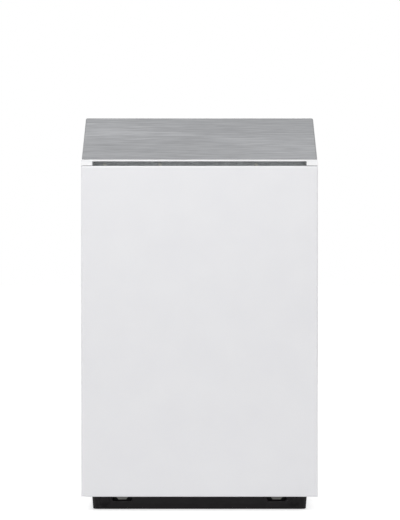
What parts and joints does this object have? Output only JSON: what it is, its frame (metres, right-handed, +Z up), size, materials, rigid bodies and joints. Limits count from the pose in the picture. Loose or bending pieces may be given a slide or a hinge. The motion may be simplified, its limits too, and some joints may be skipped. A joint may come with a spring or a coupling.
{
  "type": "floor-standing combi boiler",
  "caption": "Floor-standing condensing combi boiler with white casing, slanted brushed control flap, grip slot, black base, levelling feet and burner, pump and heat exchangers inside.",
  "frame": {"origin": "on the floor under the middle of the overall box", "axes": "+Z up, -Y towards the front cover, +X to the right as seen from the front"},
  "size_m": [0.6, 0.69, 1.041],
  "materials": {
    "white_enamel": "white powder coat, fine satin",
    "brushed_metal": "stainless sheet brushed across, satin",
    "black_plastic": "moulded black plastic, fine grain",
    "galvanised_steel": "galvanised steel sections",
    "galvanised_sheet": "galvanised sheet with faint spangle",
    "grey_foam": "open-cell foam mat",
    "light_grey_plastic": "moulded light grey plastic",
    "zinc_steel": "zinc-plated steel",
    "console_plastic": "dark grey moulded plastic, spark-eroded grain",
    "clear_plastic": "clear moulded window",
    "circuit_board": "green solder mask",
    "red_plastic": "red moulded plastic",
    "switch_plastic": "glossy black rocker",
    "cast_aluminium": "sand-cast aluminium",
    "stainless_steel": "pressed stainless steel",
    "ceramic": "glazed ceramic",
    "grey_plastic": "grey polypropylene",
    "white_plastic": "white moulded plastic",
    "copper": "drawn copper tube, slightly dulled",
    "brass": "hot-pressed brass",
    "cast_iron": "painted cast iron",
    "motor_paint": "dark grey painted motor",
    "vessel_paint": "red stove-enamelled steel",
    "black_rubber": "moulded black rubber"
  },
  "bodies": {
    "casing": {"base_tray": "black_plastic", "chassis_frame": "galvanised_steel", "back_panel": "galvanised_sheet", "left_side_panel": "white_enamel", "right_side_panel": "white_enamel", "top_panel": "white_enamel", "front_rail": "white_enamel", "control_console": "console_plastic", "display_window": "clear_plastic", "control_board": "circuit_board", "gauge_case": "black_plastic", "gauge_lens": "clear_plastic", "heat_exchanger": "cast_aluminium", "burner_door": "cast_aluminium", "burner_tube": "stainless_steel", "ignition_electrodes": "ceramic", "fan_housing": "cast_aluminium", "fan_motor": "black_plastic", "venturi_mixer": "grey_plastic", "gas_valve": "cast_aluminium", "gas_pipe": "copper", "flue_duct": "grey_plastic", "flue_collar": "white_plastic", "condensate_trap": "grey_plastic", "condensate_pipe": "grey_plastic", "pump_housing": "cast_iron", "pump_motor": "motor_paint", "safety_valve": "brass", "diverter_body": "brass", "diverter_actuator": "black_plastic", "plate_heat_exchanger": "stainless_steel", "expansion_vessel": "vessel_paint", "flow_pipe": "copper", "return_pipe": "copper", "cold_water_pipe": "copper", "hot_water_pipe": "copper", "cable_gland": "black_plastic", "panel_screws": "zinc_steel"},
    "front_cover": {"front_cover": "white_enamel", "cover_insulation": "grey_foam", "cover_lugs": "light_grey_plastic", "cover_catches": "light_grey_plastic"},
    "control_flap": {"control_flap": "brushed_metal", "flap_hinge_pins": "zinc_steel"},
    "temperature_knob": {"temperature_knob": "light_grey_plastic"},
    "power_switch": {"power_switch": "switch_plastic"},
    "reset_button": {"reset_button": "red_plastic"},
    "gauge_needle": {"gauge_needle": "red_plastic"},
    "fan_impeller": {"fan_impeller": "stainless_steel"},
    "pump_rotor": {"pump_rotor": "stainless_steel"},
    "diverter_spindle": {"diverter_spindle": "stainless_steel"},
    "safety_valve_cap": {"safety_valve_cap": "red_plastic"},
    "foot_pad_front_left": {"foot_pad_front_left": "black_rubber"},
    "foot_spindle_front_left": {"foot_spindle_front_left": "zinc_steel"},
    "foot_pad_front_right": {"foot_pad_front_right": "black_rubber"},
    "foot_spindle_front_right": {"foot_spindle_front_right": "zinc_steel"},
    "foot_pad_rear_left": {"foot_pad_rear_left": "black_rubber"},
    "foot_spindle_rear_left": {"foot_spindle_rear_left": "zinc_steel"},
    "foot_pad_rear_right": {"foot_pad_rear_right": "black_rubber"},
    "foot_spindle_rear_right": {"foot_spindle_rear_right": "zinc_steel"}
  },
  "joints": [
    {"name": "cover_tilt", "type": "hinge", "parent": "casing", "child": "front_cover", "pos_m": [0, -0.299, 0.03], "axis": [1, 0, 0], "range_deg": [0, 30]},
    {"name": "flap_hinge", "type": "hinge", "parent": "casing", "child": "control_flap", "pos_m": [0, -0.205, 1.001], "axis": [-1, 0, 0], "range_deg": [0, 105]},
    {"name": "knob_turn", "type": "hinge", "parent": "casing", "child": "temperature_knob", "pos_m": [0.06, -0.247, 0.94002], "axis": [0, 0.661, -0.7504], "range_deg": [0, 270]},
    {"name": "switch_rock", "type": "hinge", "parent": "casing", "child": "power_switch", "pos_m": [-0.215, -0.24436, 0.93702], "axis": [1, 0, 0], "range_deg": [0, 16]},
    {"name": "reset_press", "type": "slide", "parent": "casing", "child": "reset_button", "axis": [0, 0.661, -0.7504], "range_m": [0, 0.0015], "stiffness_N_per_m": 300},
    {"name": "needle_swing", "type": "hinge", "parent": "casing", "child": "gauge_needle", "pos_m": [0.15, -0.247, 0.94002], "axis": [0, 0.661, -0.7504], "range_deg": [0, 270], "stiffness_Nm_per_rad": 0.0005},
    {"name": "fan_spin", "type": "hinge", "parent": "casing", "child": "fan_impeller", "pos_m": [-0.082, 0.15, 0.815], "axis": [0, 1, 0], "continuous": true},
    {"name": "pump_spin", "type": "hinge", "parent": "casing", "child": "pump_rotor", "pos_m": [-0.075, -0.15, 0.17], "axis": [0, 1, 0], "continuous": true},
    {"name": "diverter_slide", "type": "slide", "parent": "casing", "child": "diverter_spindle", "axis": [0, -1, 0], "range_m": [0, 0.006]},
    {"name": "safety_cap_turn", "type": "hinge", "parent": "casing", "child": "safety_valve_cap", "pos_m": [-0.19, -0.13, 0.17], "axis": [-1, 0, 0], "range_deg": [0, 90]},
    {"name": "foot_slide_front_left", "type": "slide", "parent": "casing", "child": "foot_pad_front_left", "axis": [0, 0, -1], "range_m": [0, 0.02]},
    {"name": "foot_turn_front_left", "type": "hinge", "parent": "foot_pad_front_left", "child": "foot_spindle_front_left", "pos_m": [-0.225, -0.25, 0.02], "axis": [0, 0, -1], "range_deg": [0, 4115]},
    {"name": "foot_slide_front_right", "type": "slide", "parent": "casing", "child": "foot_pad_front_right", "axis": [0, 0, -1], "range_m": [0, 0.02]},
    {"name": "foot_turn_front_right", "type": "hinge", "parent": "foot_pad_front_right", "child": "foot_spindle_front_right", "pos_m": [0.225, -0.25, 0.02], "axis": [0, 0, -1], "range_deg": [0, 4115]},
    {"name": "foot_slide_rear_left", "type": "slide", "parent": "casing", "child": "foot_pad_rear_left", "axis": [0, 0, -1], "range_m": [0, 0.02]},
    {"name": "foot_turn_rear_left", "type": "hinge", "parent": "foot_pad_rear_left", "child": "foot_spindle_rear_left", "pos_m": [-0.225, 0.247, 0.02], "axis": [0, 0, -1], "range_deg": [0, 4115]},
    {"name": "foot_slide_rear_right", "type": "slide", "parent": "casing", "child": "foot_pad_rear_right", "axis": [0, 0, -1], "range_m": [0, 0.02]},
    {"name": "foot_turn_rear_right", "type": "hinge", "parent": "foot_pad_rear_right", "child": "foot_spindle_rear_right", "pos_m": [0.225, 0.247, 0.02], "axis": [0, 0, -1], "range_deg": [0, 4115]}
  ],
  "couplings": [
    {"joint": "foot_turn_front_left", "follows": "foot_slide_front_left", "rad_per_m": 3590.4},
    {"joint": "foot_turn_front_right", "follows": "foot_slide_front_right", "rad_per_m": 3590.4},
    {"joint": "foot_turn_rear_left", "follows": "foot_slide_rear_left", "rad_per_m": 3590.4},
    {"joint": "foot_turn_rear_right", "follows": "foot_slide_rear_right", "rad_per_m": 3590.4}
  ]
}
